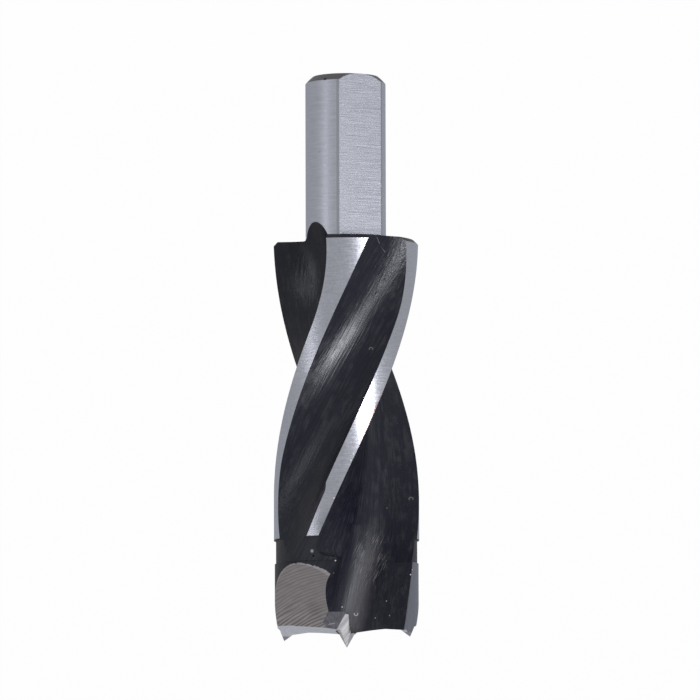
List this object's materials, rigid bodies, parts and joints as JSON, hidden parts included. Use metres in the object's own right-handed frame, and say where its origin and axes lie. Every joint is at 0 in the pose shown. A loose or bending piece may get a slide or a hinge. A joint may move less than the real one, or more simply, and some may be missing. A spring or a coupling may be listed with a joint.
{
  "type": "blind hole drill bit",
  "caption": "Blind hole drill bit: plain round shank with a long flat, spiral black body with ground ribs, and a brazed carbide head with corner spurs and centre point.",
  "frame": {"origin": "centre of the flat end of the shank", "axes": "+Z along the axis of the drill from the shank to the centre point; -Y faces the side that the picture shows"},
  "size_m": [0.018, 0.018, 0.0711],
  "materials": {
    "steel_body": "black coating on the spiral body, bright ground ribs and plain ground shank",
    "carbide_head": "ground cemented carbide, dark on the backs"
  },
  "bodies": {
    "root": {"steel_body": "steel_body", "carbide_head": "carbide_head"}
  },
  "joints": []
}
